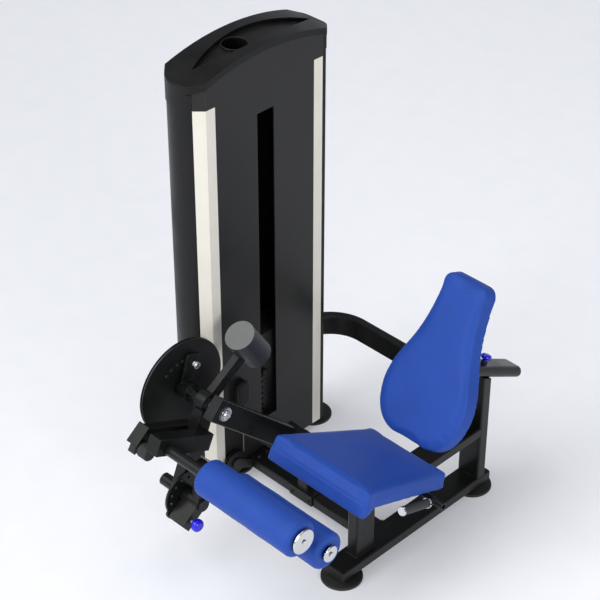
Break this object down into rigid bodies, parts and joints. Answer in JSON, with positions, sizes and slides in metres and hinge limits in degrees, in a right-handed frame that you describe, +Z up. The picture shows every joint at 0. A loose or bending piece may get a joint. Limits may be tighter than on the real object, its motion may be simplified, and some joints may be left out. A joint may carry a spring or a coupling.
{
  "type": "leg extension machine",
  "caption": "Seated leg extension machine with a sloping seat, reclined sliding backrest, pivoting arm with foam rollers, cam and a shrouded weight stack tower.",
  "frame": {"origin": "on the floor under the middle of the front foot", "axes": "+Z up, +Y from the front of the machine to its back, +X away from the weight tower; the user faces -Y"},
  "size_m": [1.045, 1.3047, 1.673],
  "materials": {
    "black_paint": "satin powder coat",
    "dark_panel": "fine matt powder coat",
    "ivory_trim": "satin ivory paint",
    "black_plastic": "fine moulded grain",
    "blue_vinyl": "blue upholstery vinyl with fine grain",
    "blue_knob": "bright blue moulded plastic",
    "rubber": "matt black rubber",
    "chrome": "polished chrome",
    "steel": "turned steel",
    "iron_plate": "black painted steel weight",
    "grey_paint": "satin dark grey paint",
    "plywood": "birch plywood",
    "cable": "black nylon coated wire rope"
  },
  "bodies": {
    "frame": {"skid_tube": "black_paint", "base_cross_frame": "black_paint", "feet": "rubber", "front_seat_post": "black_paint", "rear_post": "black_paint", "seat_rail": "black_paint", "middle_post": "black_paint", "seat_cross_tube": "black_paint", "pivot_beam": "black_paint", "pivot_bearings": "steel", "rear_bent_tube": "black_paint", "seat_pad": "blue_vinyl", "seat_board": "plywood", "backrest_sleeve": "black_paint", "handle_tube": "black_paint", "handle_grips": "rubber", "handle_end_caps": "chrome", "tower_frame": "black_paint", "guide_rods": "chrome", "stack_bumpers": "rubber", "resting_plates": "iron_plate", "pulley_brackets": "black_paint", "drive_cable": "cable", "cable_guide": "black_plastic", "side_panel_right": "dark_panel", "side_panel_left": "dark_panel", "trim_strips": "ivory_trim", "front_cover": "black_plastic", "rear_cover": "black_plastic", "top_cap": "black_plastic", "cup_liner": "black_plastic", "frame_bolts": "black_paint", "tube_end_plugs": "black_plastic"},
    "movement_arm": {"main_lever": "black_paint", "pivot_shaft": "chrome", "rubber_buffers": "rubber", "counterweight_arm": "black_paint", "counterweight": "grey_paint", "rom_plate": "black_paint", "sector_plate": "black_paint", "upper_axle": "black_paint", "upper_roller_cap": "chrome"},
    "cam": {"cam_disc": "black_paint"},
    "roller_crank": {"roller_crank": "black_paint", "lower_roller_cap": "chrome"},
    "crank_pin": {"crank_pin": "blue_knob"},
    "rom_pin": {"rom_pin": "steel"},
    "upper_roller": {"upper_roller": "blue_vinyl"},
    "lower_roller": {"lower_roller": "blue_vinyl"},
    "moving_stack": {"lifted_plates": "iron_plate", "head_plate": "iron_plate", "selector_stem": "chrome", "lift_cable": "cable"},
    "selector_pin": {"selector_pin": "black_plastic"},
    "front_pulley": {"front_pulley": "black_plastic"},
    "top_pulley": {"top_pulley": "black_plastic"},
    "backrest": {"backrest_slider": "steel", "backrest_board": "plywood", "backrest_pad": "blue_vinyl"},
    "backrest_pin": {"backrest_pin": "blue_knob"}
  },
  "joints": [
    {"name": "lever_swing", "type": "hinge", "parent": "frame", "child": "movement_arm", "pos_m": [0, -0.156, 0.566], "axis": [-1, 0, 0], "range_deg": [0, 85]},
    {"name": "cam_turn", "type": "hinge", "parent": "frame", "child": "cam", "pos_m": [0, -0.156, 0.566], "axis": [-1, 0, 0], "range_deg": [0, 85.5]},
    {"name": "stack_lift", "type": "slide", "parent": "frame", "child": "moving_stack", "axis": [0, 0, 1], "range_m": [0, 0.2542], "deforming": ["lift_cable"]},
    {"name": "front_pulley_turn", "type": "hinge", "parent": "frame", "child": "front_pulley", "pos_m": [-0.603, 0.08, 0.092], "axis": [-1, 0, 0], "range_deg": [-5, 349]},
    {"name": "top_pulley_turn", "type": "hinge", "parent": "frame", "child": "top_pulley", "pos_m": [-0.674, 0.1945, 1.465], "axis": [0.8957, 0.4447, 0], "range_deg": [-184, 5]},
    {"name": "selector_pin_pull", "type": "slide", "parent": "moving_stack", "child": "selector_pin", "axis": [1, 0, 0], "range_m": [0, 0.1]},
    {"name": "rom_pin_pull", "type": "slide", "parent": "movement_arm", "child": "rom_pin", "axis": [1, 0, 0], "range_m": [0, 0.016], "stiffness_N_per_m": 600, "springref_m": -0.01},
    {"name": "crank_turn", "type": "hinge", "parent": "movement_arm", "child": "roller_crank", "pos_m": [0, -0.28416, 0.26407], "axis": [-1, 0, 0], "range_deg": [0, 140]},
    {"name": "crank_pin_pull", "type": "slide", "parent": "roller_crank", "child": "crank_pin", "axis": [1, 0, 0], "range_m": [-0.009, 0.006]},
    {"name": "upper_roller_spin", "type": "hinge", "parent": "movement_arm", "child": "upper_roller", "pos_m": [0, -0.385, 0.537], "axis": [1, 0, 0], "continuous": true},
    {"name": "lower_roller_spin", "type": "hinge", "parent": "roller_crank", "child": "lower_roller", "pos_m": [0, -0.267, 0.409], "axis": [1, 0, 0], "continuous": true},
    {"name": "backrest_slide", "type": "slide", "parent": "frame", "child": "backrest", "axis": [0, -0.8801, 0.4749], "range_m": [0, 0.1]},
    {"name": "backrest_pin_pull", "type": "slide", "parent": "frame", "child": "backrest_pin", "axis": [0, 0.4749, 0.8801], "range_m": [0, 0.012], "stiffness_N_per_m": 600, "springref_m": -0.01}
  ],
  "couplings": [
    {"joint": "cam_turn", "follows": "lever_swing", "ratio": 1},
    {"joint": "stack_lift", "follows": "lever_swing", "m_per_rad": 0.17},
    {"joint": "front_pulley_turn", "follows": "lever_swing", "ratio": 4.0476},
    {"joint": "top_pulley_turn", "follows": "lever_swing", "ratio": -2.1002}
  ]
}
